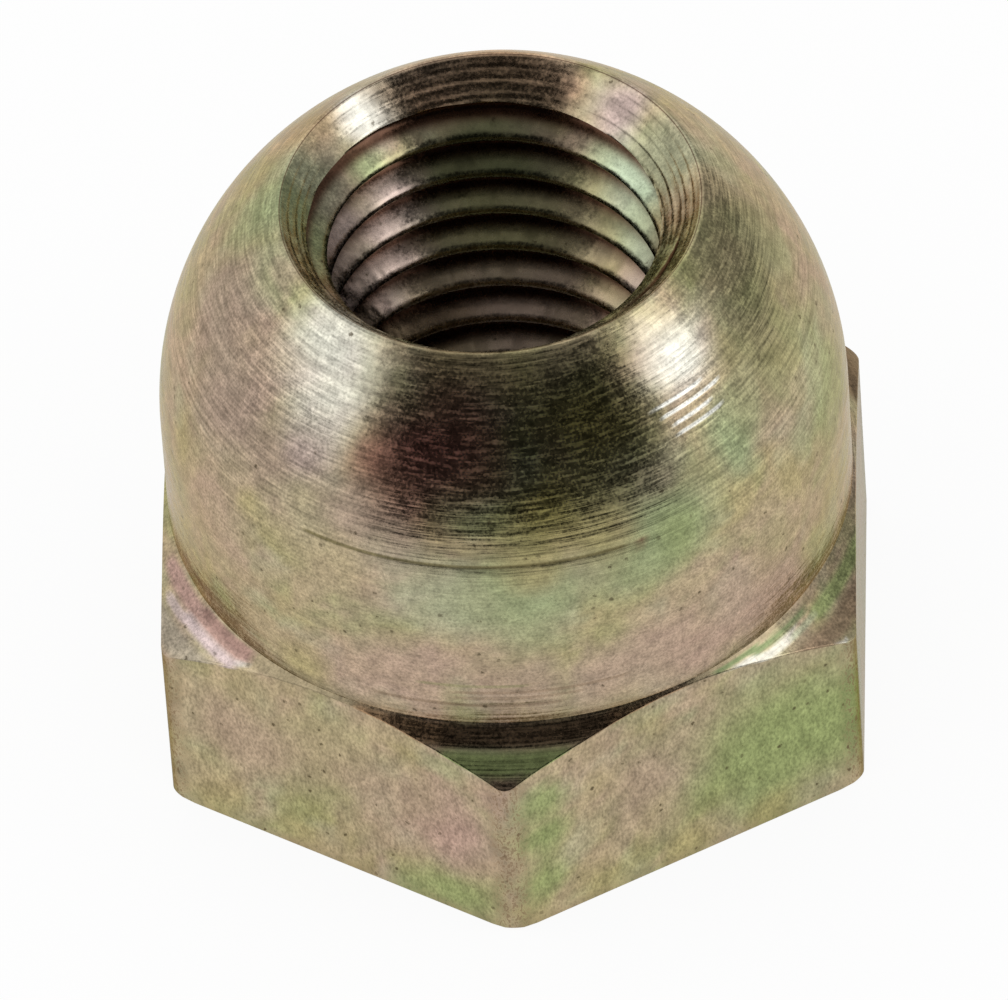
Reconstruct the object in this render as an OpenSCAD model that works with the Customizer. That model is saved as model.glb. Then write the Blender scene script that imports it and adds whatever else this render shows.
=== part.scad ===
// Adjusting nut, turned in one piece from hexagon bar: a short spanner hexagon at the foot,
// a round collar above it, and a spherical seat with the thread's countersunk mouth on top.
// The bore is drawn plain, at the thread's minor diameter. Millimetres, base on Z = 0.

/* [Hexagon] */
// Width across the flats, 9/16 in
hex_af = 14.29; // [14.2:0.01:20]
// Rounding of the drawn bar's corners
corner_r = 0.4; // [0.1:0.05:1]
// Height of the shoulder's root, where the hexagon meets the collar
shoulder_h = 5.05; // [3:0.05:12]
// Fall of the shoulder below the horizontal
shoulder_deg = 35; // [20:1:45]
// Width of the steeper step that the turning tool left at the shoulder's root
step_w = 0.42; // [0.1:0.02:0.5]
// Fall of the step below the horizontal
step_deg = 42; // [36:1:55]
// How far the base chamfer cuts in from the corners
base_inset = 0.14; // [0.05:0.01:0.6]
// Rise of the base chamfer above the horizontal
base_deg = 37; // [20:1:60]

/* [Spherical seat] */
// Radius of the spherical seat and of the collar below it
seat_r = 7.08; // [6:0.01:7.1]
// Height of the seat's centre above the shoulder's root
collar_h = 2.35; // [1:0.05:6]
// Rounding of the rim around the mouth
rim_r = 0.1; // [0.05:0.01:0.25]

/* [Thread] */
// Nominal diameter of the thread, 5/16 in
thread_d = 7.94; // [6:0.01:8.5]
// Pitch of the thread, 24 to the inch
thread_pitch = 1.058; // [0.8:0.001:1.5]
// Included angle of both countersinks
countersink_deg = 90; // [80:1:100]
// How far the seat's mouth stands outside the thread, all round
mouth_margin = 0.355; // [0.2:0.005:0.6]
// How far the base's mouth stands outside the thread, all round
base_mouth_margin = 0.15; // [0.05:0.01:0.6]

/* [Hidden] */
$fn = 128;

// How far the tools and the bar run past the finished faces
overrun = 1;
zinc_yellow = [0.66, 0.61, 0.50];

// Hexagon: the corners' round centres, the flats between them and the reach over the corners
flats = 6;
corner_centre_r = (hex_af / 2 - corner_r) / cos(180 / flats);
flat_w = 2 * corner_centre_r * sin(180 / flats);
corner_reach = corner_centre_r + corner_r;
turned_r = corner_reach + overrun;
base_r = corner_reach - base_inset;

// Shoulder: the point where the step runs out on the slope, and the slope's height past the corners
step_foot = [seat_r + step_w, shoulder_h - step_w * tan(step_deg)];
slope_end_h = step_foot.y - (turned_r - step_foot.x) * tan(shoulder_deg);

// Thread: basic minor diameter of a 60 degree thread, and its mouths
bore_r = (thread_d - 2 * thread_pitch * 5 / 8 * cos(30)) / 2;
mouth_r = thread_d / 2 + mouth_margin;
base_mouth_r = thread_d / 2 + base_mouth_margin;
cone_slope = tan(countersink_deg / 2);

// Seat: its centre, and the height of the sharp rim before it is rounded
seat_h = shoulder_h + collar_h;
rim_h = seat_h + sqrt(pow(seat_r, 2) - pow(mouth_r, 2));

// Rim round: it touches the seat from inside and the countersink's wall from behind
wall_normal = [cos(countersink_deg / 2), -sin(countersink_deg / 2)];
wall_offset = wall_normal * [mouth_r, rim_h - seat_h];
rim_turn = acos((wall_offset + rim_r) / (seat_r - rim_r)) - countersink_deg / 2;
seat_normal = [cos(rim_turn), sin(rim_turn)];
rim_centre = [0, seat_h] + (seat_r - rim_r) * seat_normal;
rim_tip = rim_centre + rim_r * (seat_normal - wall_normal) / (1 - seat_normal * wall_normal);

// Cross-section of the drawn bar: three pairs of flats, with a round at each corner
module bar_section() {
    for (i = [0 : flats / 2 - 1])
        rotate(i * 360 / flats) square([hex_af, flat_w], center = true);
    for (i = [0 : flats - 1])
        rotate((i + 0.5) * 360 / flats) translate([corner_centre_r, 0]) circle(corner_r);
}

// Half outline of the turning: seat and collar
module seat_outline() {
    square([seat_r, seat_h]);
    intersection() {
        translate([0, seat_h]) circle(seat_r);
        translate([0, seat_h]) square(seat_r);
    }
}

// Half outline of the turning: hexagon's foot, with the base chamfer and the sloping shoulder
module foot_outline() {
    polygon([
        [0, 0],
        [base_r, 0],
        [turned_r, (turned_r - base_r) * tan(base_deg)],
        [turned_r, slope_end_h],
        step_foot,
        [seat_r, shoulder_h],
        [0, shoulder_h]
    ]);
}

// Half outline of the bore, opened by a countersink at each end
module bore_outline() {
    polygon([
        [0, -overrun],
        [base_mouth_r + overrun * cone_slope, -overrun],
        [bore_r, (base_mouth_r - bore_r) / cone_slope],
        [bore_r, rim_h - (mouth_r - bore_r) / cone_slope],
        [mouth_r + seat_r * cone_slope, rim_h + seat_r],
        [0, rim_h + seat_r]
    ]);
}

// Sliver that is taken off the sharp rim to round it
module rim_outline() {
    difference() {
        polygon([
            rim_centre,
            rim_centre + rim_r * seat_normal,
            rim_tip,
            rim_tip - rim_r * wall_normal,
            rim_centre - 2 * rim_r * wall_normal,
        ]);
        translate(rim_centre) circle(rim_r);
    }
}

module adjusting_nut() {
    color(zinc_yellow) difference() {
        intersection() {
            translate([0, 0, -overrun]) linear_extrude(rim_h + 2 * overrun) bar_section();
            rotate_extrude() {
                seat_outline();
                foot_outline();
            }
        }
        rotate_extrude() {
            bore_outline();
            rim_outline();
        }
    }
}

adjusting_nut();
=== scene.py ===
import math

import bmesh
import bpy
import numpy as np
from mathutils import Matrix, Vector, noise


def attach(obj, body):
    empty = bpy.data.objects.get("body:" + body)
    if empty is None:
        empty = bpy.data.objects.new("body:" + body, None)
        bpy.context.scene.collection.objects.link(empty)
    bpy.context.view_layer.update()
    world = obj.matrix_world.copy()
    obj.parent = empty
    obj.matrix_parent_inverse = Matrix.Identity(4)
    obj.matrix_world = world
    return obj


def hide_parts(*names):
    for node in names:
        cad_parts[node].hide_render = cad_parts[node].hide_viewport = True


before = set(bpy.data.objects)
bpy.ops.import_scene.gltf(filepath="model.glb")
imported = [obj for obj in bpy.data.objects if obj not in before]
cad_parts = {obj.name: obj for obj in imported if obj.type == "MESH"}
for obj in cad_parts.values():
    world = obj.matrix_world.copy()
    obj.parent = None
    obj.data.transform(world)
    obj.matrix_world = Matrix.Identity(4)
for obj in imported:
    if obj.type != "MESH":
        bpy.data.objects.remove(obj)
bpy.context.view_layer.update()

# Adjusting nut.
# One piece of steel turned from drawn hexagon bar: spanner hexagon, collar and spherical seat, with a
# 5/16 in thread of 24 turns to the inch cut right through. It is zinc plated and yellow passivated.
MM = 0.001
HEX_AF = 14.29
SIDES = 6
CORNER_R = 0.4
SHOULDER_H = 5.05
SHOULDER_DEG = 35.0
STEP_W = 0.42
STEP_DEG = 42.0
BASE_INSET = 0.14
BASE_DEG = 37.0
SEAT_R = 7.08
COLLAR_H = 2.35
RIM_R = 0.1
THREAD_D = 7.94
THREAD_PITCH = 1.058
THREAD_FLANK_DEG = 30.0
COUNTERSINK_DEG = 90.0
MOUTH_MARGIN = 0.355
BASE_MOUTH_MARGIN = 0.15
EDGE_BREAK = 0.02

side_turn = math.radians(360 / SIDES)
half_side = side_turn / 2
shoulder_slope = math.radians(SHOULDER_DEG)
step_slope = math.radians(STEP_DEG)
base_slope = math.radians(BASE_DEG)
cone_half = math.radians(COUNTERSINK_DEG / 2)
corner_centre = (HEX_AF / 2 - CORNER_R) / math.cos(half_side)
corner_reach = corner_centre + CORNER_R
base_r = corner_reach - BASE_INSET
seat_h = SHOULDER_H + COLLAR_H
step_foot_r = SEAT_R + STEP_W
step_foot_h = SHOULDER_H - STEP_W * math.tan(step_slope)
# The bore has the basic minor diameter of a 60 degree thread.
bore_r = THREAD_D / 2 - THREAD_PITCH * 5 / 8 * math.cos(math.radians(THREAD_FLANK_DEG))
mouth_r = THREAD_D / 2 + MOUTH_MARGIN
base_mouth_r = THREAD_D / 2 + BASE_MOUTH_MARGIN
rim_h = seat_h + math.sqrt(SEAT_R ** 2 - mouth_r ** 2)


def off_mid_flat(angle):
    """Angle from the middle of the nearest flat."""
    return np.abs((angle + half_side) % side_turn - half_side)


# The mesh runs round the axis in columns of half sections: fine over the bar's rounded corners, wider over
# its flats.
FLAT_STEPS = 30
CORNER_STEPS = 6
flat_half = math.atan2(corner_centre / 2, HEX_AF / 2)
corner_half = half_side - flat_half
one_side = np.concatenate([
    np.linspace(-flat_half, flat_half, FLAT_STEPS, endpoint=False),
    np.linspace(flat_half, side_turn - flat_half, CORNER_STEPS, endpoint=False),
])
turn = np.concatenate([one_side + k * side_turn for k in range(SIDES)])
columns = len(turn)
off_flat = off_mid_flat(turn)
off_corner = half_side - off_flat
on_corner = np.sqrt(np.maximum(CORNER_R ** 2 - (corner_centre * np.sin(off_corner)) ** 2, 0))
hex_r = np.where(
    off_corner > corner_half, HEX_AF / 2 / np.cos(off_flat), corner_centre * np.cos(off_corner) + on_corner
)


def ring(r, z):
    """One row of the half sections: radius and height in every column."""
    return np.stack(np.broadcast_arrays(np.asarray(r, float), np.asarray(z, float), turn)[:2], -1)


def between(a, b, shares):
    """Rows at these shares of the way from row a to row b."""
    return [a + (b - a) * t for t in shares]


ROUND_SHARES = (0, 0.25, 0.5, 0.75, 1)


def rounded(corner, before, after, reach):
    """Rows that round a corner off, with one row on each side that holds the faces beside it flat."""
    lead = corner + before * reach
    trail = corner + after * reach
    arc = [lead * (1 - t) ** 2 + corner * 2 * t * (1 - t) + trail * t ** 2 for t in ROUND_SHARES]
    return [corner + before * 2 * reach, *arc, corner + after * 2 * reach]


def direction(r, z):
    """A unit direction in the half section, one for each column."""
    d = ring(r, z)
    return d / np.linalg.norm(d, axis=-1, keepdims=True)


# Base face, base chamfer and the bar's flats, from the base's mouth out and up to the shoulder.
CHAMFER_LEAST = 0.04
CHAMFER_ROUND = 0.2
BASE_SHARES = np.linspace(0.05, 0.85, 8)
FLAT_SHARES = np.linspace(0.06, 0.94, 16)
chamfer_r = np.minimum(base_r, hex_r - CHAMFER_LEAST)
chamfer_reach = CHAMFER_ROUND * CHAMFER_LEAST
inward = direction(-1, 0)
upward = direction(0, 1)
downward = direction(0, -1)
up_chamfer = direction(math.cos(base_slope), math.sin(base_slope))
base_mouth = ring(base_mouth_r, 0)
base_edge = ring(chamfer_r, 0)
flat_foot = ring(hex_r, (hex_r - chamfer_r) * math.tan(base_slope))

SHOULDER_CROWN = 0.02


def shoulder_height(r):
    """Height of the shoulder at these radii: on its slightly crowned slope, or on the step at its root."""
    share = (r - step_foot_r) / (corner_reach - step_foot_r)
    crown = SHOULDER_CROWN * 4 * share * (1 - share)
    slope = step_foot_h - (r - step_foot_r) * math.tan(shoulder_slope) + crown
    step = SHOULDER_H - (r - SEAT_R) * math.tan(step_slope)
    return np.where(r > step_foot_r, slope, step)


def on_shoulder(r):
    """A row of the shoulder at these radii."""
    return ring(r, shoulder_height(r))


flat_top = on_shoulder(hex_r)
top_slope = np.where(hex_r > step_foot_r, shoulder_slope, step_slope)
up_shoulder = direction(-np.cos(top_slope), np.sin(top_slope))
ROOT_LEAST = 0.01
edge_break = np.minimum(EDGE_BREAK, (hex_r - SEAT_R - ROOT_LEAST) / 2)[:, None]
rows = [
    base_mouth,
    *between(base_mouth, base_edge, BASE_SHARES),
    *rounded(base_edge, inward, up_chamfer, chamfer_reach),
    *rounded(flat_foot, -up_chamfer, upward, chamfer_reach),
    *between(flat_foot, flat_top, FLAT_SHARES),
    *rounded(flat_top, downward, up_shoulder, edge_break),
]
SLOPE_ROWS = 14
STEP_ROWS = 8
slope_top_r = hex_r - 2 * edge_break[:, 0] * np.cos(top_slope)
step_top_r = np.minimum(slope_top_r, step_foot_r)
slope_shares = np.linspace(0, 1, SLOPE_ROWS + 1)[1:]
step_shares = np.linspace(0, 1, STEP_ROWS + 1)[1:]
rows += [on_shoulder(slope_top_r + (step_top_r - slope_top_r) * t) for t in slope_shares]
rows += [on_shoulder(step_top_r + (SEAT_R - step_top_r) * t) for t in step_shares]

# Collar and seat, with the deeper rings that the turning tool left. Each ring is cut deepest at one side
# and fades out round the nut: height on the collar or latitude on the seat, depth, and side in degrees.
COLLAR_RINGS = (
    (5.54, 0.004, -93), (5.75, 0.004, -88), (5.91, 0.005, -80), (6.1, 0.003, -95), (6.4, 0.003, 75),
)
SEAT_RINGS = (
    (9.0, 0.002, 130), (15.7, 0.008, -90), (17.2, 0.002, 40), (18.6, 0.002, -108),
    (20.0, 0.0025, -76), (22.6, 0.002, -94), (27.2, 0.003, 150), (30.4, 0.005, -45),
    (32.2, 0.005, -46), (34.2, 0.005, -46), (36.0, 0.005, -48), (39.0, 0.003, 60),
)
RING_FADE = 0.8
# A ring has rows at these shares of its half width. It is cut within RING_FLOOR of its middle, and the
# plain rows keep RING_CLEAR away from it.
RING_HALF_WIDTH = 0.06
RING_ROWS = (-1, -0.3, 0.3, 1)
RING_FLOOR = 0.5 * RING_HALF_WIDTH
RING_CLEAR = 2 * RING_HALF_WIDTH
SEAT_STEP = 0.18
collar_length = seat_h - SHOULDER_H
wall_offset = mouth_r * math.cos(cone_half) - (rim_h - seat_h) * math.sin(cone_half)
rim_turn = math.acos((wall_offset + RIM_R) / (SEAT_R - RIM_R)) - cone_half
seat_length = collar_length + SEAT_R * rim_turn
tool_rings = [(h - SHOULDER_H, depth, side) for h, depth, side in COLLAR_RINGS]
tool_rings += [(collar_length + SEAT_R * math.radians(lat), depth, side) for lat, depth, side in SEAT_RINGS]


def ring_cut(run):
    """How deep a tool ring is cut, this far up from the shoulder's root, in every column."""
    cut = np.zeros(columns)
    for middle, depth, side in tool_rings:
        if abs(run - middle) < RING_FLOOR:
            cut += depth * np.maximum(np.cos(turn - math.radians(side)) - RING_FADE, 0) / (1 - RING_FADE)
    return cut


plain_runs = np.linspace(0, seat_length, round(seat_length / SEAT_STEP) + 1)[1:]
clear_runs = [run for run in plain_runs if min(abs(run - g[0]) for g in tool_rings) > RING_CLEAR]
ring_runs = [g[0] + share * RING_HALF_WIDTH for g in tool_rings for share in RING_ROWS]
for run in sorted(clear_runs + ring_runs):
    latitude = max(run - collar_length, 0) / SEAT_R
    wall_r = SEAT_R - ring_cut(run)
    foot = SHOULDER_H + min(run, collar_length)
    rows.append(ring(wall_r * math.cos(latitude), foot + wall_r * math.sin(latitude)))

# Rounded rim, from the seat over into the countersink.
RIM_STEPS = 8
rim_centre = np.array([math.cos(rim_turn), math.sin(rim_turn)]) * (SEAT_R - RIM_R) + [0, seat_h]
for swept in np.linspace(rim_turn, math.pi - cone_half, RIM_STEPS + 1)[1:]:
    rows.append(ring(rim_centre[0] + RIM_R * math.cos(swept), rim_centre[1] + RIM_R * math.sin(swept)))
countersink_top = rows[-1][0, 1]

# Bore: a right-hand thread of 60 degrees, a little rounded, that the two countersinks cut into. The upper
# countersink has the cutter's chatter: two waves, with their shares of its depth and of its step.
CREST_SHARE = 0.14
ROOT_SHARE = 0.2
SOFTENED = (-0.06, -0.03, 0, 0.03, 0.06)
THREAD_START = 11.076
CHATTER_DEPTH = 0.0065
CHATTER_STEP = 0.15
CHATTER_WAVES = ((1.0, 1.0), (0.7, 0.6))
flank_share = (1 - CREST_SHARE - ROOT_SHARE) / 2
thread_marks = np.array([0, CREST_SHARE, CREST_SHARE + flank_share, 1 - flank_share, 1])
thread_radii = np.array([bore_r, bore_r, THREAD_D / 2, THREAD_D / 2, bore_r])


def bore_wall(z):
    """Radius of the bore's wall at these heights: the thread, or a countersink where that is wider."""
    share = ((z - THREAD_START) / THREAD_PITCH - turn / (2 * math.pi)) % 1
    thread = np.mean([np.interp((share + s) % 1, thread_marks, thread_radii) for s in SOFTENED], axis=0)
    chatter = sum(part * np.sin(2 * math.pi * z / (wave * CHATTER_STEP)) for part, wave in CHATTER_WAVES)
    top_cone = mouth_r - (rim_h - z) * math.tan(cone_half)
    top_cone = top_cone + CHATTER_DEPTH * chatter * np.clip((countersink_top - z) / CHATTER_STEP, 0, 1)
    base_cone = base_mouth_r - z * math.tan(cone_half)
    return np.maximum(thread, np.maximum(top_cone, base_cone))


# The bore's rows climb with the thread, in three stretches that are held between level rings: foot, head,
# and where the rows of one turn lie.
BASE_END = 1.3
MOUTH_START = 10.9
BASE_ROWS = 20
MOUTH_ROWS = 40
THREAD_ROWS = np.array([
    0, 0.035, 0.07, 0.105, 0.14, 0.2, 0.3, 0.41, 0.47, 0.57, 0.67, 0.73, 0.84, 0.94, 0.97
])
STRETCHES = (
    (0.0, BASE_END, np.linspace(0, 1, BASE_ROWS, endpoint=False)),
    (BASE_END, MOUTH_START, THREAD_ROWS),
    (MOUTH_START, countersink_top, np.linspace(0, 1, MOUTH_ROWS, endpoint=False)),
)
points = []
faces = []


def add_rows(sections, seam_shift):
    """Adds a grid of rows that closes on itself round the axis, seam_shift rows higher where it closes."""
    first = sum(len(p) for p in points)
    grid = np.stack(sections)
    points.append(np.stack([
        grid[..., 0] * np.cos(turn), grid[..., 0] * np.sin(turn), grid[..., 1]
    ], -1).reshape(-1, 3))
    last = len(sections) - 1
    for j in range(last):
        for i in range(columns):
            shift = seam_shift if i == columns - 1 else 0
            low = min(j + shift, last)
            high = min(j + 1 + shift, last)
            after = (i + 1) % columns
            faces.append((
                first + j * columns + i,
                first + low * columns + after,
                first + high * columns + after,
                first + (j + 1) * columns + i,
            ))


add_rows(rows, 0)
climb = THREAD_START + THREAD_PITCH * turn / (2 * math.pi)
for foot, head, marks in STRETCHES:
    lowest = math.floor((foot - THREAD_START) / THREAD_PITCH) - 1
    highest = math.ceil((head - THREAD_START) / THREAD_PITCH) + 1
    heights = [
        np.clip(climb + THREAD_PITCH * (k + m), foot, head) for k in range(lowest, highest) for m in marks
    ]
    add_rows([ring(bore_wall(z), z) for z in heights], len(marks))

nut_mesh = bpy.data.meshes.new("adjusting_nut_finished")
nut_mesh.from_pydata((np.concatenate(points) * MM).tolist(), [], faces)
WELD = 1e-4 * MM
work = bmesh.new()
work.from_mesh(nut_mesh)
bmesh.ops.remove_doubles(work, verts=work.verts, dist=WELD)
bmesh.ops.dissolve_degenerate(work, edges=work.edges, dist=WELD)
bmesh.ops.recalc_face_normals(work, faces=work.faces)

# The flats keep the drawn bar's skin; everything else was turned.
FLAT_SIDE = 0.2
for face in work.faces:
    centre = face.calc_center_median() / MM
    is_flat = abs(face.normal.z) < FLAT_SIDE and centre.xy.length > HEX_AF / 2 - EDGE_BREAK
    face.material_index = 1 if is_flat else 0
    face.smooth = True
work.to_mesh(nut_mesh)
work.free()
CREASE = math.radians(28)
nut_mesh.set_sharp_from_angle(angle=CREASE)
# The texture space is centred on the axis, because the brushed gloss runs round it.
nut_mesh.use_auto_texspace = False
nut_mesh.texspace_location = (0, 0, seat_h * MM)
nut_mesh.texspace_size = (corner_reach * MM,) * 3
nut = bpy.data.objects.new("adjusting_nut_finished", nut_mesh)
bpy.context.scene.collection.objects.link(nut)

# How near each point is to the bar's corners and to its base, where the plating is rubbed and stained.
WORN_BAND = 0.12
spots = np.empty(len(nut_mesh.vertices) * 3)
nut_mesh.vertices.foreach_get("co", spots)
spots = spots.reshape(-1, 3) / MM
spot_turn = np.arctan2(spots[:, 1], spots[:, 0])
spot_r = np.hypot(spots[:, 0], spots[:, 1])
from_corner = np.maximum(half_side - off_mid_flat(spot_turn) - corner_half, 0) * corner_reach
from_base = spots[:, 2]
on_bar = spot_r > HEX_AF / 2 - EDGE_BREAK
worn = np.clip(1 - np.minimum(from_corner, from_base) / WORN_BAND, 0, 1) * on_bar
nut_mesh.attributes.new("worn_edge", "FLOAT", "POINT").data.foreach_set("value", worn)

# Finish of the nut: zinc plate with a passivate film, whose thickness tints it tan, rose, green and straw
# in patches. Some of the patches and bands below are painted highlights, painted shade and painted light,
# laid into the same colours.
TAN = (0.45, 0.36, 0.225)
ROSE = (0.455, 0.325, 0.25)
MAUVE = (0.45, 0.345, 0.32)
LILAC = (0.56, 0.45, 0.43)
GREEN = (0.285, 0.335, 0.14)
MINT = (0.41, 0.425, 0.28)
SAGE = (0.32, 0.375, 0.2)
STRAW = (0.39, 0.34, 0.15)
OLIVE = (0.285, 0.27, 0.135)
# SILVER is a pale, near neutral film. Where a soft box is mirrored, it is laid as painted highlight.
SILVER = (0.565, 0.555, 0.495)
GLINT_WHITE = (0.85, 0.85, 0.79)
PLUM = (0.35, 0.27, 0.25)
PALE_JADE = (0.37, 0.45, 0.32)
DARK_OLIVE = (0.15, 0.125, 0.055)
RUST_RED = (0.43, 0.19, 0.15)
BROWN = (0.25, 0.175, 0.115)
COPPER = (0.60, 0.39, 0.25)
AMBER = (0.37, 0.32, 0.11)
SIENNA = (0.38, 0.235, 0.13)
PINK = (0.455, 0.295, 0.25)
DEEP_GREEN = (0.17, 0.21, 0.1)
DUSK = (0.37, 0.275, 0.215)
UMBER = (0.19, 0.125, 0.075)
MOSS = (0.13, 0.145, 0.07)
GREY_TAN = (0.36, 0.31, 0.235)
KHAKI = (0.275, 0.225, 0.14)
DARK_ROSE = (0.28, 0.175, 0.145)
THREAD_ROOT_SHADE = (0.09, 0.04, 0.024)
# Each patch of film, some of them painted light and shade: degrees round the nut, height, distance from
# the axis, reach, colour and strength.
FLAT_PATCHES = (
    (-44, 2.3, 7.4, 2.9, GREEN, 0.95), (-33, 2.2, 7.9, 1.9, GREEN, 0.9), (-68, 2.7, 7.3, 1.6, ROSE, 0.75),
    (-85, 3.5, 7.9, 0.8, GREEN, 0.9), (-85, 2.4, 7.9, 0.8, GREEN, 0.95), (-85, 1.3, 7.9, 0.8, GREEN, 0.9),
    (-76, 0.4, 7.6, 0.9, STRAW, 0.7), (-60, 0.3, 7.2, 0.9, STRAW, 0.7), (-45, 0.3, 7.5, 0.9, STRAW, 0.7),
    (-140, 2.8, 7.5, 2.2, TAN, 0.8), (-122, 3.0, 7.2, 1.7, TAN, 0.8), (-101, 2.5, 7.6, 1.5, ROSE, 0.85),
    (-112, 2.7, 7.3, 1.3, ROSE, 0.6), (-136, 2.7, 7.4, 1.8, ROSE, 0.6), (-98, 0.5, 7.7, 1.2, GREEN, 0.9),
    (-105, 0.4, 7.4, 0.9, GREEN, 0.7), (-143, 0.3, 7.8, 1.0, STRAW, 0.7), (-128, 0.3, 7.3, 0.9, STRAW, 0.6),
    # The brown and olive patches at 30 degrees are painted shade on the flats at the bar's back right
    # corner.
    (30, 3.6, 8.1, 1.7, BROWN, 0.85), (30, 1.6, 8.1, 1.7, OLIVE, 0.6), (-98, 2.3, 7.8, 1.2, PINK, 0.6),
)
COLLAR_PATCHES = (
    (-63, 6.2, 7.1, 1.7, ROSE, 0.85), (-46, 6.5, 7.1, 1.4, ROSE, 0.75), (-74, 5.8, 7.1, 1.2, ROSE, 0.75),
    (-88, 6.3, 7.1, 1.3, ROSE, 0.75), (-114, 5.8, 7.1, 1.4, ROSE, 0.7), (-103, 6.4, 7.1, 1.2, ROSE, 0.7),
    (-125, 5.5, 7.1, 0.9, STRAW, 0.6), (-36, 5.9, 7.1, 1.2, ROSE, 0.9), (-54, 5.7, 7.1, 1.0, PINK, 0.5),
)
SEAT_PATCHES = (
    (-101, 8.4, 7.0, 1.5, MINT, 0.7), (-83, 8.2, 7.0, 1.5, SAGE, 0.8), (-59, 9.2, 6.8, 1.5, SAGE, 0.9),
    (-92, 8.5, 7.0, 1.3, SAGE, 0.6), (-70, 8.8, 6.9, 1.2, SAGE, 0.6), (-57, 9.0, 6.9, 0.8, GREEN, 0.6),
    (-72, 10.0, 6.6, 1.3, STRAW, 0.8), (-84, 9.4, 6.8, 0.9, STRAW, 0.6),
    (-106, 11.5, 5.8, 1.2, RUST_RED, 0.95), (-96, 11.9, 5.4, 1.1, RUST_RED, 0.8),
    (-105, 10.6, 6.3, 1.2, RUST_RED, 0.65), (-96, 11.3, 5.9, 1.1, RUST_RED, 0.7),
    (-113, 11.0, 6.1, 0.9, RUST_RED, 0.5), (-68, 11.8, 5.5, 1.5, AMBER, 0.85),
    (-81, 10.4, 6.4, 1.0, AMBER, 0.9), (-98, 12.8, 4.6, 0.9, SIENNA, 0.7),
    (-82, 12.8, 4.6, 0.9, AMBER, 0.6), (-88, 12.7, 4.7, 0.8, COPPER, 0.6),
    # The silver patches at -131 and -127 degrees are partly painted highlight, where the left soft box is
    # mirrored.
    (-131, 12.6, 4.7, 1.6, SILVER, 0.8), (-127, 11.7, 5.6, 1.1, SILVER, 0.6),
    (-127, 10.9, 6.1, 1.0, MAUVE, 0.8),
    # The silver patch at -43 degrees is partly painted highlight, where the right soft box is mirrored.
    (-43, 12.2, 5.2, 1.3, SILVER, 0.9), (-40, 10.3, 6.4, 1.0, SAGE, 0.9), (-20, 11.4, 5.8, 1.4, OLIVE, 0.7),
    (-4, 12.2, 5.2, 1.6, OLIVE, 0.7), (-32, 11.0, 6.1, 1.1, OLIVE, 0.6), (-149, 10.7, 6.3, 2.3, DUSK, 0.9),
    (-167, 11.6, 5.7, 1.7, DUSK, 0.8), (-145, 8.0, 7.0, 1.7, ROSE, 0.7), (-133, 9.8, 6.6, 1.5, DUSK, 0.6),
    (-120, 9.0, 6.9, 1.5, TAN, 0.8), (-12, 9.6, 6.7, 1.8, SAGE, 0.6), (-138, 9.1, 6.9, 0.5, STRAW, 0.6),
    (-117, 10.2, 6.5, 1.1, DUSK, 0.8), (-109, 9.9, 6.6, 0.9, DUSK, 0.6),
)
MOUTH_PATCHES = (
    # The copper patches at 75 to 110 degrees are film made brighter as painted light on the countersink's
    # back.
    (92, 12.6, 3.9, 1.4, COPPER, 0.95), (75, 12.6, 3.9, 1.0, COPPER, 0.8),
    (110, 12.6, 3.9, 1.0, COPPER, 0.9), (178, 12.5, 3.9, 1.7, SAGE, 0.9), (160, 12.4, 3.9, 1.1, MINT, 0.9),
    # The silver patch at 132 degrees is partly painted highlight, where a soft box is mirrored in the
    # countersink.
    (132, 12.5, 3.9, 0.9, SILVER, 0.9), (50, 12.5, 3.9, 1.1, MAUVE, 0.9), (20, 12.4, 3.9, 1.2, MINT, 0.8),
    (-20, 12.4, 3.9, 1.3, GREEN, 0.6), (-90, 12.5, 3.9, 2.2, OLIVE, 0.6),
)
BORE_PATCHES = (
    # The moss patch at 90 degrees high on the back wall and the umber patches at 115 and 150 degrees low in
    # the bore are darker film, partly painted shade inside the bore.
    (90, 11.0, 3.7, 2.0, MOSS, 0.95), (90, 8.6, 3.7, 2.2, OLIVE, 0.95), (90, 6.2, 3.7, 2.4, DUSK, 0.95),
    (60, 10.0, 3.7, 1.2, OLIVE, 0.7), (128, 10.0, 3.7, 1.4, MAUVE, 0.85), (130, 8.2, 3.7, 1.4, MAUVE, 0.8),
    (158, 10.6, 3.7, 1.7, PLUM, 0.9), (158, 8.6, 3.7, 1.7, PLUM, 0.9), (138, 11.5, 3.7, 0.8, SAGE, 0.8),
    (150, 6.6, 3.7, 1.8, UMBER, 0.9), (115, 6.0, 3.7, 1.5, UMBER, 0.8),
    (37, 11.2, 3.7, 1.4, PALE_JADE, 0.9), (37, 9.6, 3.7, 1.2, PALE_JADE, 0.7),
    (25, 8.0, 3.7, 1.4, MAUVE, 0.9),
)
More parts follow.
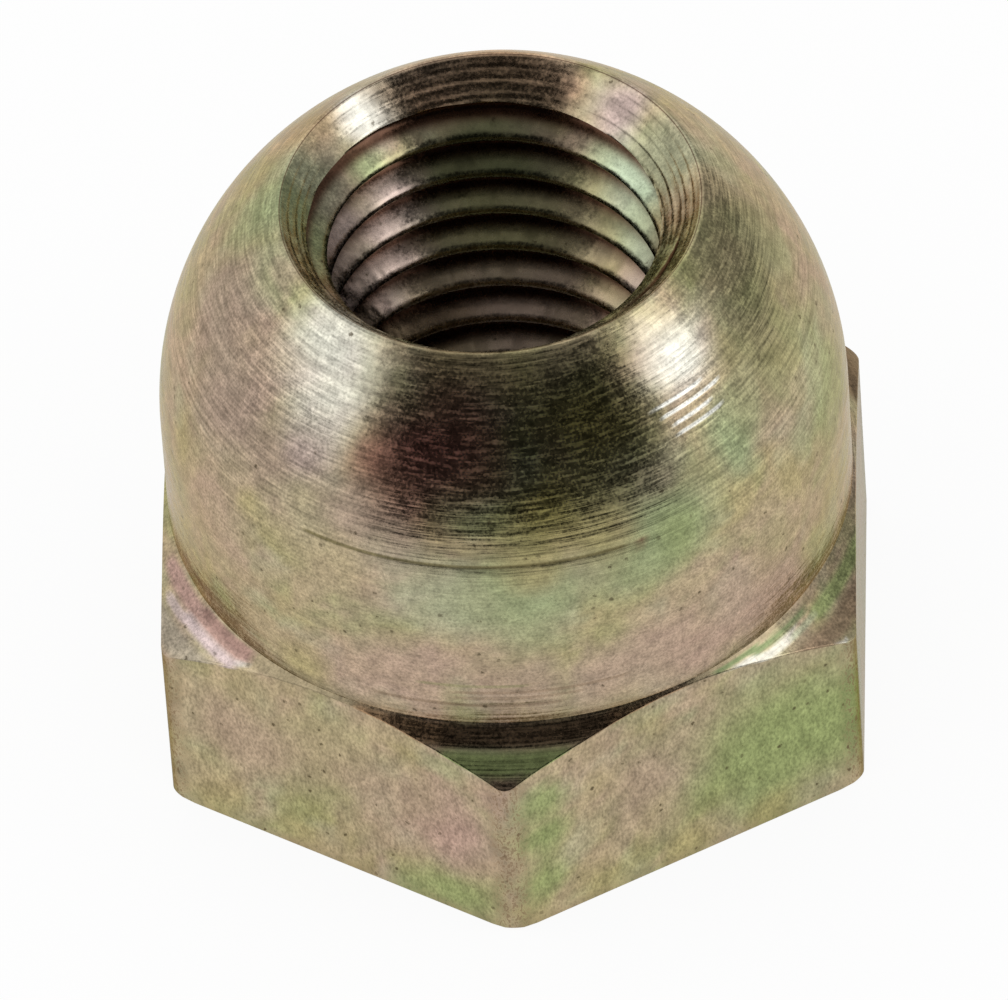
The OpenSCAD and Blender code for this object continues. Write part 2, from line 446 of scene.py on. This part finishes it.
# Bands of film along the turning, some of them painted highlight and shade: from and to degrees round the
# nut, height, distance from the axis, reach, colour and strength.
TURNED_BANDS = (
    # The khaki, sienna and umber bands close under the collar and the deep green bands at -53 to -33
    # degrees are film darkened as painted shade under the collar. The brown band at -42 to -20 degrees is
    # partly painted shade where the right soft box's light ends.
    (-138, -114, 5.0, 7.14, 0.32, KHAKI, 0.9), (-58, -34, 5.01, 7.12, 0.09, KHAKI, 0.9),
    (-114, -99, 4.86, 7.29, 0.34, SIENNA, 0.9), (-98, -72, 4.86, 7.29, 0.34, UMBER, 0.95),
    (-71, -60, 4.86, 7.29, 0.34, SIENNA, 0.8), (-35, -31, 4.25, 8.1, 0.06, SILVER, 0.8),
    (-99, -81, 4.5, 7.75, 0.36, GREEN, 1.0), (-92, -88, 4.2, 8.15, 0.2, BROWN, 0.8),
    (-160, -140, 4.38, 7.9, 0.36, GREY_TAN, 0.95), (-162, -138, 4.87, 7.28, 0.24, PINK, 0.95),
    # The lilac bands at -158 to -139 degrees and the silver band at -138 to -136 are painted highlight: the
    # crescent where the left soft box is mirrored beside the collar.
    (-149, -137, 4.95, 7.19, 0.17, DARK_ROSE, 0.9), (-158, -152, 4.63, 7.54, 0.14, LILAC, 0.8),
    (-152, -139, 4.68, 7.48, 0.17, LILAC, 1.0), (-138, -136, 4.78, 7.38, 0.1, SILVER, 0.6),
    (-160, -140, 5.45, 7.08, 0.13, BROWN, 0.45), (-31, -14, 4.74, 7.42, 0.22, GREEN, 0.9),
    # The silver bands at -50 to -37 degrees are painted highlight: the crescent where the right soft box is
    # mirrored beside the collar.
    (-42, -20, 4.42, 7.82, 0.36, BROWN, 0.9), (-45, -37, 4.77, 7.4, 0.12, SILVER, 0.75),
    (-50, -44, 4.87, 7.29, 0.09, SILVER, 0.8), (-38, -32, 4.74, 7.43, 0.11, MINT, 0.8),
    (-53, -44, 4.97, 7.18, 0.07, DEEP_GREEN, 0.95), (-45, -33, 4.9, 7.24, 0.1, DEEP_GREEN, 0.95),
    # The umber band at 20 to 40 degrees is painted shade on the shoulder at the bar's back right corner.
    (20, 40, 4.6, 7.7, 0.7, UMBER, 0.9),
    # The bands along the tool rings, at heights 5.54 to 6.1 on the collar and 9.31 on the seat, are darker
    # film, partly painted shade in the rings' grooves.
    (-112, -80, 5.54, 7.08, 0.06, BROWN, 0.6), (-98, -76, 5.75, 7.08, 0.05, BROWN, 0.5),
    (-98, -68, 5.91, 7.08, 0.05, BROWN, 0.6), (-104, -86, 6.1, 7.08, 0.05, OLIVE, 0.6),
    (-124, -67, 9.316, 6.816, 0.04, DARK_OLIVE, 0.85), (-65, -64, 9.31, 6.82, 0.09, UMBER, 0.9),
)
# Painted glints: white dashes along the tool rings where the right soft box is mirrored, given in the same
# way.
PAINTED_GLINTS = (
    (-54, -42, 11.562, 5.728, 0.05, GLINT_WHITE, 0.9), (-53, -39, 11.379, 5.856, 0.05, GLINT_WHITE, 0.9),
    (-51, -42, 11.173, 5.991, 0.05, GLINT_WHITE, 0.9), (-51, -40, 10.983, 6.107, 0.05, GLINT_WHITE, 0.9),
)
# Where a patch or a band starts and where it is full, in shares of its reach.
FILM_START = 1.1
PATCH_FULL = 0.2
BAND_FULL = 0.4
# The patches' outlines are stirred, the same way in every run. Those of small patches are stirred less.
STIR_SEED = 1795895194
STIR_SCALE = 0.8
STIR_REACH = 0.45
STIR_FULL = 1.2
# The mottle under the patches: colour, scale, shift and strength. Its clouds are noise with this fall-off,
# step in size and number of layers.
MOTTLES = (
    (ROSE, 0.35, 3.1, 0.7), (GREEN, 0.35, 17.4, 0.5), (STRAW, 0.5, 41.0, 0.5), (MINT, 0.8, 29.0, 0.4),
    (ROSE, 1.1, 11.0, 0.4), (GREEN, 1.1, 53.0, 0.25),
)
MOTTLE_FULL = 0.5
CLOUDS = (1.0, 2.0, 3)
# The thread's roots are darkened as painted shade: how much, and how far outside the crests that starts
# and is full.
ROOT_SHADE_STRENGTH = 0.95
ROOT_SHADE_FROM = 0.2
ROOT_SHADE_FULL = 0.45


def wash(under, colour, share):
    """Lays a colour over the film and its painted light, by this share at each point."""
    return under + (np.array(colour) - under) * share[:, None]


def soft_step(value, start, end):
    """From 0 at start to 1 at end, with soft ends."""
    t = np.clip((value - start) / (end - start), 0, 1)
    return t * t * (3 - 2 * t)


noise.seed_set(STIR_SEED)
stirred = spots + STIR_REACH * np.array([noise.noise_vector(Vector(p)) for p in spots * STIR_SCALE])
film_and_painted_light = np.tile(np.array(TAN), (len(spots), 1))
for colour, scale, shift, strength in MOTTLES:
    cloud = np.array([noise.fractal(Vector(p), *CLOUDS) for p in stirred * scale + shift])
    film_and_painted_light = wash(film_and_painted_light, colour, strength * soft_step(cloud, 0.0, MOTTLE_FULL))

# The back repeats the front's patches, weaker, and its bands, turned by thirds, and with them their painted
# highlights and shade. The red stain and the painted glints are on the front only.
THIRD = 120
BACK = (40, 165)
BACK_SHARE = 0.7
OUTER_PATCHES = FLAT_PATCHES + COLLAR_PATCHES + SEAT_PATCHES
plain_patches = [p for p in OUTER_PATCHES if p[4] != RUST_RED]
turned_on = [(p[0] + THIRD * k, *p[1:5], BACK_SHARE * p[5]) for k in (1, 2) for p in plain_patches]
back_patches = [p for p in turned_on if BACK[0] < p[0] < BACK[1]]
patches = (*back_patches, *OUTER_PATCHES, *MOUTH_PATCHES, *BORE_PATCHES)
for side_deg, height, from_axis, reach, colour, strength in patches:
    a = math.radians(side_deg)
    centre = np.array([from_axis * math.cos(a), from_axis * math.sin(a), height])
    moved = spots + (stirred - spots) * min(reach / STIR_FULL, 1)
    away = np.linalg.norm(moved - centre, axis=1)
    film_and_painted_light = wash(film_and_painted_light, colour, strength * soft_step(away, FILM_START * reach, PATCH_FULL * reach))
is_turned = spots[:, 2] > shoulder_height(spot_r) - EDGE_BREAK
turned_on = [(b[0] + THIRD * k, b[1] + THIRD * k, *b[2:]) for k in (1, 2) for b in TURNED_BANDS]
back_bands = [b for b in turned_on if BACK[0] < b[0] and b[1] < BACK[1]]
for low, high, height, from_axis, reach, colour, strength in (*back_bands, *TURNED_BANDS, *PAINTED_GLINTS):
    half = math.radians(high - low) / 2
    off_middle = (spot_turn - math.radians(low) - half + math.pi) % (2 * math.pi) - math.pi
    past_end = np.maximum(np.abs(off_middle) - half, 0) * from_axis
    away = np.sqrt((spot_r - from_axis) ** 2 + (spots[:, 2] - height) ** 2 + past_end ** 2)
    share = strength * soft_step(away, FILM_START * reach, BAND_FULL * reach) * is_turned
    film_and_painted_light = wash(film_and_painted_light, colour, share)
top_cone_r = mouth_r - (rim_h - spots[:, 2]) * math.tan(cone_half)
base_cone_r = base_mouth_r - spots[:, 2] * math.tan(cone_half)
cone_r = np.maximum(top_cone_r, base_cone_r)
in_thread = (spot_r < mouth_r) & (spot_r > cone_r + EDGE_BREAK)
# Painted shade: the thread's roots are darkened nearly to black.
root_shade = ROOT_SHADE_STRENGTH * soft_step(spot_r - bore_r, ROOT_SHADE_FROM, ROOT_SHADE_FULL) * in_thread
film_and_painted_light = wash(film_and_painted_light, THREAD_ROOT_SHADE, root_shade)
film_rgba = np.concatenate([film_and_painted_light, np.ones((len(film_and_painted_light), 1))], 1)
nut_mesh.attributes.new("film_and_painted_light", "FLOAT_COLOR", "POINT").data.foreach_set("color", film_rgba.ravel())


def place(tree, kind, inputs=(), **settings):
    """Adds a node. Of its inputs, by name or number, a socket is linked and a value is set."""
    made = tree.nodes.new(kind)
    for name, value in settings.items():
        setattr(made, name, value)
    for name, value in dict(inputs).items():
        if isinstance(value, bpy.types.NodeSocket):
            tree.links.new(value, made.inputs[name])
        elif isinstance(value, tuple) and made.inputs[name].type == "RGBA":
            made.inputs[name].default_value = (*value, 1)
        else:
            made.inputs[name].default_value = value
    return made


def maths(tree, operation, a, b):
    """Two numbers, added, multiplied or the like."""
    return place(tree, "ShaderNodeMath", {0: a, 1: b}, operation=operation).outputs[0]


def vectors(tree, operation, inputs, output="Vector"):
    """The same for vectors."""
    return place(tree, "ShaderNodeVectorMath", inputs, operation=operation).outputs[output]


def ramp(tree, value, start, end, low=0.0, high=1.0, soft=True):
    """low where value is at start, high where it is at end, with a soft or a straight step between."""
    kind = "SMOOTHSTEP" if soft else "LINEAR"
    return place(tree, "ShaderNodeMapRange", {0: value, 1: start, 2: end, 3: low, 4: high},
                 interpolation_type=kind).outputs[0]


def tint(tree, share, colour, over, kind="MIX"):
    """The colour with another laid over it, by this share."""
    inputs = {0: share, 6: colour, 7: over}
    return place(tree, "ShaderNodeMix", inputs, data_type="RGBA", blend_type=kind).outputs[2]


def grain(tree, at, scale, detail, shift):
    """Noise at these points, shifted so that no two kinds of grain match."""
    moved = vectors(tree, "ADD", {0: at, 1: (shift, shift, shift)})
    inputs = {"Vector": moved, "Scale": scale, "Detail": detail}
    return place(tree, "ShaderNodeTexNoise", inputs).outputs["Fac"]


# Grain of the plating: scale, detail and shift of the noise, the span of noise that counts, and what its
# ends make of the colour and the roughness. Drawing stretched the grain on the bar's flats.
FINE_GRAIN = (17.0, 2.0, 5.5)
COARSE_GRAIN = (3.6, 1.0, 23.0)
GRAIN_SPAN = (0.3, 0.7)
FINE_SHADES = (0.72, 1.28)
COARSE_SHADES = (0.84, 1.16)
COARSE_HEIGHT = 0.5
ROUGH_SPAN = (0.36, 0.64)
ROUGHNESS = (0.17, 0.28)
DRAWN_STRETCH = 0.6
BUMP_STRENGTH = 0.6
BUMP_DEPTH = 0.02
TURNED_EDGE = (0.85, 0.78, 0.65, 1)
BAR_EDGE = (0.55, 0.49, 0.36, 1)
# Pits: the fine grain makes their edges ragged, and chance makes some of them fainter.
PIT_SCALE = 2.9
PIT_CHANCE = (0.2, 0.95)
PIT_EDGE = (0.2, 0.07)
RAGGED_SPAN = (0.35, 0.65)
RAGGED_BY = (0.1, -0.06)
PIT_STRENGTH = 0.8
PIT_BROWN = (0.06, 0.045, 0.025)
# Streaks that the turning tool left: how narrow they are, how often they break off, their depth and shade.
STREAKS = ((4.0, 3.0, 0.7, 0.93), (14.0, 1.3, 0.45, 0.88), (13.0, 10.0, 0.45, 0.84))
STREAK_GRAIN = (1.0, 1.0, 7.7)
STREAK_SPAN = (0.36, 0.64)
STREAK_FADE = (8.2, 10.2)
STREAK_LEAST = 0.35
RADIUS_SHARE = 0.5
STREAK_ROUGH_SPAN = (0.5, 0.7)
STREAK_ROUGHNESS = (0.0, 0.11)
CLOUD_ROUGH_SPAN = (0.35, 0.7)
CLOUD_ROUGHNESS = (-0.015, 0.02)
BRUSHED = 0.7
BRUSHED_TURN = 0.25
# Stains on the rubbed edges of the bar.
STAIN_SPAN = (0.48, 0.62)
STAIN_STRENGTH = 0.7


def pitted(tree, at, fine, colour):
    """The colour with small dark pits in it."""
    pits = place(tree, "ShaderNodeTexVoronoi", {"Vector": at, "Scale": PIT_SCALE}).outputs
    chance = place(tree, "ShaderNodeSeparateColor", {0: pits["Color"]}).outputs[0]
    ragged = maths(tree, "ADD", pits["Distance"], ramp(tree, fine, *RAGGED_SPAN, *RAGGED_BY, False))
    pit = maths(tree, "MULTIPLY", ramp(tree, chance, *PIT_CHANCE), ramp(tree, ragged, *PIT_EDGE))
    return tint(tree, maths(tree, "MULTIPLY", pit, PIT_STRENGTH), colour, PIT_BROWN)


def streaked(tree, at, colour, height, rough):
    """Colour, height and roughness with the tool's streaks round the axis. They colour the seat most."""
    split = place(tree, "ShaderNodeSeparateXYZ", {0: at}).outputs
    level = place(tree, "ShaderNodeCombineXYZ", {0: split[0], 1: split[1]}).outputs[0]
    radius = vectors(tree, "LENGTH", {0: level}, "Value")
    facing = place(tree, "ShaderNodeSeparateXYZ", {0: vectors(tree, "NORMALIZE", {0: level})}).outputs
    along = maths(tree, "SUBTRACT", split[2], maths(tree, "MULTIPLY", radius, RADIUS_SHARE))
    marked = ramp(tree, split[2], *STREAK_FADE, STREAK_LEAST, 1.0)
    for narrow, broken, depth, shade in STREAKS:
        streak_at = place(tree, "ShaderNodeCombineXYZ", {
            0: maths(tree, "MULTIPLY", facing[0], broken),
            1: maths(tree, "MULTIPLY", facing[1], broken),
            2: maths(tree, "MULTIPLY", along, narrow),
        }).outputs[0]
        streak = grain(tree, streak_at, *STREAK_GRAIN)
        height = maths(tree, "ADD", height, maths(tree, "MULTIPLY", streak, depth))
        shades = ramp(tree, streak, *STREAK_SPAN, shade, 2 - shade, False)
        colour = tint(tree, marked, colour, tint(tree, 1.0, colour, shades, "MULTIPLY"))
    rough = maths(tree, "ADD", rough, ramp(tree, streak, *STREAK_ROUGH_SPAN, *STREAK_ROUGHNESS, False))
    return colour, height, rough


def zinc_finish(name, turned):
    """The plated finish. Turned faces have streaks from the tool; the bar's flats are only grained."""
    material = bpy.data.materials.new(name)
    material.use_nodes = True
    tree = material.node_tree
    shader = tree.nodes["Principled BSDF"]
    where = place(tree, "ShaderNodeTexCoord").outputs["Object"]
    at = vectors(tree, "SCALE", {0: where, 3: 1 / MM})
    drawn = (1, 1, 1) if turned else (1, 1, DRAWN_STRETCH)
    skin = vectors(tree, "MULTIPLY", {0: at, 1: drawn})
    fine = grain(tree, skin, *FINE_GRAIN)
    coarse = grain(tree, skin, *COARSE_GRAIN)
    colour = place(tree, "ShaderNodeAttribute", attribute_name="film_and_painted_light").outputs["Color"]
    colour = tint(tree, 1.0, colour, ramp(tree, fine, *GRAIN_SPAN, *FINE_SHADES, False), "MULTIPLY")
    colour = tint(tree, 1.0, colour, ramp(tree, coarse, *GRAIN_SPAN, *COARSE_SHADES, False), "MULTIPLY")
    colour = pitted(tree, at, fine, colour)
    height = maths(tree, "MULTIPLY", coarse, COARSE_HEIGHT)
    rough = ramp(tree, fine, *ROUGH_SPAN, *ROUGHNESS, False)
    if turned:
        colour, height, rough = streaked(tree, at, colour, height, rough)
        rough = maths(tree, "ADD", rough, ramp(tree, coarse, *CLOUD_ROUGH_SPAN, *CLOUD_ROUGHNESS, False))
        shader.inputs["Anisotropic"].default_value = BRUSHED
        shader.inputs["Anisotropic Rotation"].default_value = BRUSHED_TURN
        tangent = place(tree, "ShaderNodeTangent", direction_type="RADIAL", axis="Z").outputs[0]
        tree.links.new(tangent, shader.inputs["Tangent"])
    else:
        rubbed = place(tree, "ShaderNodeAttribute", attribute_name="worn_edge").outputs["Fac"]
        stain = maths(tree, "MULTIPLY", rubbed, ramp(tree, fine, *STAIN_SPAN))
        colour = tint(tree, maths(tree, "MULTIPLY", stain, STAIN_STRENGTH), colour, UMBER)
    relief = {"Strength": BUMP_STRENGTH, "Distance": BUMP_DEPTH * MM, "Height": height}
    bump = place(tree, "ShaderNodeBump", relief).outputs[0]
    shader.inputs["Metallic"].default_value = 1.0
    shader.inputs["Specular Tint"].default_value = TURNED_EDGE if turned else BAR_EDGE
    tree.links.new(colour, shader.inputs["Base Color"])
    tree.links.new(rough, shader.inputs["Roughness"])
    tree.links.new(bump, shader.inputs["Normal"])
    return material


nut_mesh.materials.append(zinc_finish("zinc_turned", True))
nut_mesh.materials.append(zinc_finish("zinc_bar", False))
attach(nut, "root")
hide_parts("adjusting_nut")

# Floor.
# A wide sheet of matt white board that the nut stands on by its base. It looks white to the camera and in
# the nut's reflections, and it keeps the nut's shadow and the shade inside the bore.
FLOOR_HALF = 2.0
FLOOR_CORNERS = ((-1, -1), (1, -1), (1, 1), (-1, 1))
FLOOR_WHITE = 0.92
FLOOR_ROUGHNESS = 0.9
FLOOR_GLOW = 0.92
MIRRORED_SHARE = 0.84
floor_points = [(x * FLOOR_HALF, y * FLOOR_HALF, 0) for x, y in FLOOR_CORNERS]
floor_mesh = bpy.data.meshes.new("floor")
floor_mesh.from_pydata(floor_points, [], [(0, 1, 2, 3)])
floor = bpy.data.objects.new("floor", floor_mesh)
bpy.context.scene.collection.objects.link(floor)
board = bpy.data.materials.new("white_board")
board.use_nodes = True
board_tree = board.node_tree
matt = board_tree.nodes["Principled BSDF"]
matt.inputs["Base Color"].default_value = (FLOOR_WHITE,) * 3 + (1,)
matt.inputs["Roughness"].default_value = FLOOR_ROUGHNESS
matt.inputs["Specular IOR Level"].default_value = 0.0
bright = place(board_tree, "ShaderNodeEmission", {"Strength": 1.0})
seen = place(board_tree, "ShaderNodeLightPath").outputs
mirrored = maths(board_tree, "MAXIMUM", seen["Is Glossy Ray"], seen["Is Transmission Ray"])
mirrored = maths(board_tree, "MULTIPLY", mirrored, MIRRORED_SHARE)
seen_as = maths(board_tree, "MAXIMUM", seen["Is Camera Ray"], mirrored)
board_at = place(board_tree, "ShaderNodeTexCoord").outputs["Object"]
from_middle = vectors(board_tree, "LENGTH", {0: board_at}, "Value")
lit = ramp(board_tree, from_middle, bore_r * MM, SEAT_R * MM, 0.0, FLOOR_GLOW)
glow_share = maths(board_tree, "MULTIPLY", seen_as, lit)
mixed = {0: glow_share, 1: matt.outputs[0], 2: bright.outputs[0]}
board_mix = place(board_tree, "ShaderNodeMixShader", mixed)
board_tree.links.new(board_mix.outputs[0], board_tree.nodes["Material Output"].inputs["Surface"])
board.cycles.emission_sampling = "NONE"
floor_mesh.materials.append(board)

# Camera.
# A long lens that looks down on the nut at about 45 degrees, slightly tilted, from a little to the right of
# the nut's front corner. Its distance and rise are worked out from the seat's radius.
CAMERA_DEG = 4.0
CAMERA_UP_DEG = 45.62
CAMERA_ROLL_DEG = -4.13
CAMERA_AWAY = 63.13 * SEAT_R * MM
CAMERA_RISE = 0.3068 * SEAT_R * MM
LENS_MM = 777.1
SENSOR_MM = 36.0
CLIP_START = 0.01
CLIP_END = 20.0
azimuth = math.radians(CAMERA_DEG)
rise = math.radians(CAMERA_UP_DEG)
roll = math.radians(CAMERA_ROLL_DEG)
back = Vector((math.sin(azimuth) * math.cos(rise), -math.cos(azimuth) * math.cos(rise), math.sin(rise)))
level_right = Vector((math.cos(azimuth), math.sin(azimuth), 0))
level_up = back.cross(level_right)
right = level_right * math.cos(roll) + level_up * math.sin(roll)
up = back.cross(right)
camera_data = bpy.data.cameras.new("camera")
camera_data.lens = LENS_MM
camera_data.sensor_width = SENSOR_MM
camera_data.clip_start = CLIP_START
camera_data.clip_end = CLIP_END
camera = bpy.data.objects.new("camera", camera_data)
bpy.context.scene.collection.objects.link(camera)
eye = Vector((0, 0, seat_h * MM)) + back * CAMERA_AWAY - up * CAMERA_RISE
camera.matrix_world = Matrix.Translation(eye) @ Matrix((right, up, back)).transposed().to_4x4()
bpy.context.scene.camera = camera

# Light.
# A white tent of cloth that is open towards the camera, with a soft box behind each of its side walls. The
# tent is the world's own light, and its wall at the back right lies in half shade.
TENT_PALE = 0.9
TENT_SHADE = 0.35
SHADE_SIDE_DEG = 126.0
SHADE_UP_DEG = 14.0
SHADE_INNER_DEG = 16.0
SHADE_OUTER_DEG = 38.0


def from_nut(side_deg, up_deg, away):
    """A place seen from the nut: degrees right of the camera's side and above the floor, and distance."""
    a = azimuth + math.radians(side_deg)
    e = math.radians(up_deg)
    return Vector((math.sin(a) * math.cos(e), -math.cos(a) * math.cos(e), math.sin(e))) * away


world = bpy.data.worlds.new("white_tent")
world.use_nodes = True
world_tree = world.node_tree
world.cycles.sampling_method = "NONE"
bpy.context.scene.world = world
sky_way = place(world_tree, "ShaderNodeTexCoord").outputs["Generated"]
shade_way = tuple(from_nut(SHADE_SIDE_DEG, SHADE_UP_DEG, 1))
shaded = vectors(world_tree, "DOT_PRODUCT", {0: sky_way, 1: shade_way}, "Value")
shade_outer = math.cos(math.radians(SHADE_OUTER_DEG))
shade_inner = math.cos(math.radians(SHADE_INNER_DEG))
pale = ramp(world_tree, shaded, shade_outer, shade_inner, TENT_PALE, TENT_SHADE)
sky = world_tree.nodes["Background"]
sky.inputs["Color"].default_value = (1, 1, 1, 1)
world_tree.links.new(pale, sky.inputs["Strength"])

# Each soft box: name, degrees to the right and up, width, height and brightness.
LIGHT_AWAY = 0.25
SOFT_BOXES = (
    ("soft_box_left", -80.0, 38.0, 0.2, 0.16, 0.55),
    ("soft_box_right", 71.0, 35.0, 0.1, 0.125, 1.55),
)
for name, side_deg, up_deg, width, height, glow in SOFT_BOXES:
    lamp = bpy.data.lights.new(name, "AREA")
    lamp.shape = "RECTANGLE"
    lamp.size = width
    lamp.size_y = height
    lamp.energy = glow * math.pi * width * height
    holder = bpy.data.objects.new(name, lamp)
    bpy.context.scene.collection.objects.link(holder)
    holder.location = from_nut(side_deg, up_deg, LIGHT_AWAY)
    holder.rotation_euler = holder.location.to_track_quat("Z", "Y").to_euler()
    holder.visible_camera = False

# The tent's opening, with a dark room behind it. It narrows upwards to a point a little behind the nut.
# Its sides are softly lit, and a dark sill comes in low over the board, so that the nut mirrors less white.
OPENING_AWAY = 0.6
OPENING_TOP_DEG = 109.0
OPENING_LEFT_DEG = -50.0
OPENING_RIGHT_DEG = 58.0
OPENING_SOFT_DEG = 16.0
OPENING_EDGE_GLOW = 0.45
OPENING_LOW_DEG = 2.0
OPENING_TIP = 0.01
OPENING_STEPS = 24
SILL_NEAR = 0.1
SILL_LIFT = 0.0003
ROOM_GLOW = (0.02, 0.4)
ROOM_GLOW_FROM = 0.78 * OPENING_AWAY
ROOM_GLOW_FULL = 0.93 * OPENING_AWAY
top = from_nut(0, OPENING_TOP_DEG, 1)
front = from_nut(0, OPENING_TOP_DEG - 90, 1)
side = from_nut(90, 0, 1)
opening_points = []
for side_deg in np.linspace(OPENING_LEFT_DEG, OPENING_RIGHT_DEG, OPENING_STEPS + 1):
    way = front * math.cos(math.radians(side_deg)) + side * math.sin(math.radians(side_deg))
    level = math.hypot(top.z, way.z)
    lowest = math.atan2(way.z, top.z) + math.acos(math.sin(math.radians(OPENING_LOW_DEG)) / level)
    for down in np.linspace(OPENING_TIP, lowest, OPENING_STEPS + 1):
        opening_points.append((top * math.cos(down) + way * math.sin(down)) * OPENING_AWAY)
    sill = Vector((opening_points[-1].x, opening_points[-1].y, 0)).normalized() * SILL_NEAR
    opening_points.append(sill + Vector((0, 0, SILL_LIFT)))
opening_rows = OPENING_STEPS + 2
opening_faces = []
for j in range(OPENING_STEPS):
    for i in range(j * opening_rows, (j + 1) * opening_rows - 1):
        opening_faces.append((i, i + 1, i + 1 + opening_rows, i + opening_rows))
opening_mesh = bpy.data.meshes.new("tent_opening")
opening_mesh.from_pydata(opening_points, [], opening_faces)
opening = bpy.data.objects.new("tent_opening", opening_mesh)
bpy.context.scene.collection.objects.link(opening)
opening.visible_camera = False
opening.visible_diffuse = False
opening.visible_shadow = False
dark_room = bpy.data.materials.new("dark_room")
dark_room.use_nodes = True
room_tree = dark_room.node_tree
room_tree.nodes.remove(room_tree.nodes["Principled BSDF"])
room_at = place(room_tree, "ShaderNodeTexCoord").outputs["Object"]
room_height = place(room_tree, "ShaderNodeSeparateXYZ", {0: room_at}).outputs[2]
room_glow = ramp(room_tree, room_height, ROOM_GLOW_FROM, ROOM_GLOW_FULL, *ROOM_GLOW)
room_way = vectors(room_tree, "NORMALIZE", {0: room_at})
room_side = vectors(room_tree, "DOT_PRODUCT", {0: room_way, 1: tuple(side)}, "Value")
left_edge = math.sin(math.radians(OPENING_LEFT_DEG))
left_inner = math.sin(math.radians(OPENING_LEFT_DEG + OPENING_SOFT_DEG))
right_inner = math.sin(math.radians(OPENING_RIGHT_DEG - OPENING_SOFT_DEG))
right_edge = math.sin(math.radians(OPENING_RIGHT_DEG))
left_glow = ramp(room_tree, room_side, left_edge, left_inner, OPENING_EDGE_GLOW, 0.0)
right_glow = ramp(room_tree, room_side, right_inner, right_edge, 0.0, OPENING_EDGE_GLOW)
room_glow = maths(room_tree, "ADD", room_glow, maths(room_tree, "ADD", left_glow, right_glow))
room = place(room_tree, "ShaderNodeEmission", {"Strength": room_glow})
room_tree.links.new(room.outputs[0], room_tree.nodes["Material Output"].inputs["Surface"])
dark_room.cycles.emission_sampling = "NONE"
opening_mesh.materials.append(dark_room)

bpy.context.scene.view_settings.view_transform = "Standard"
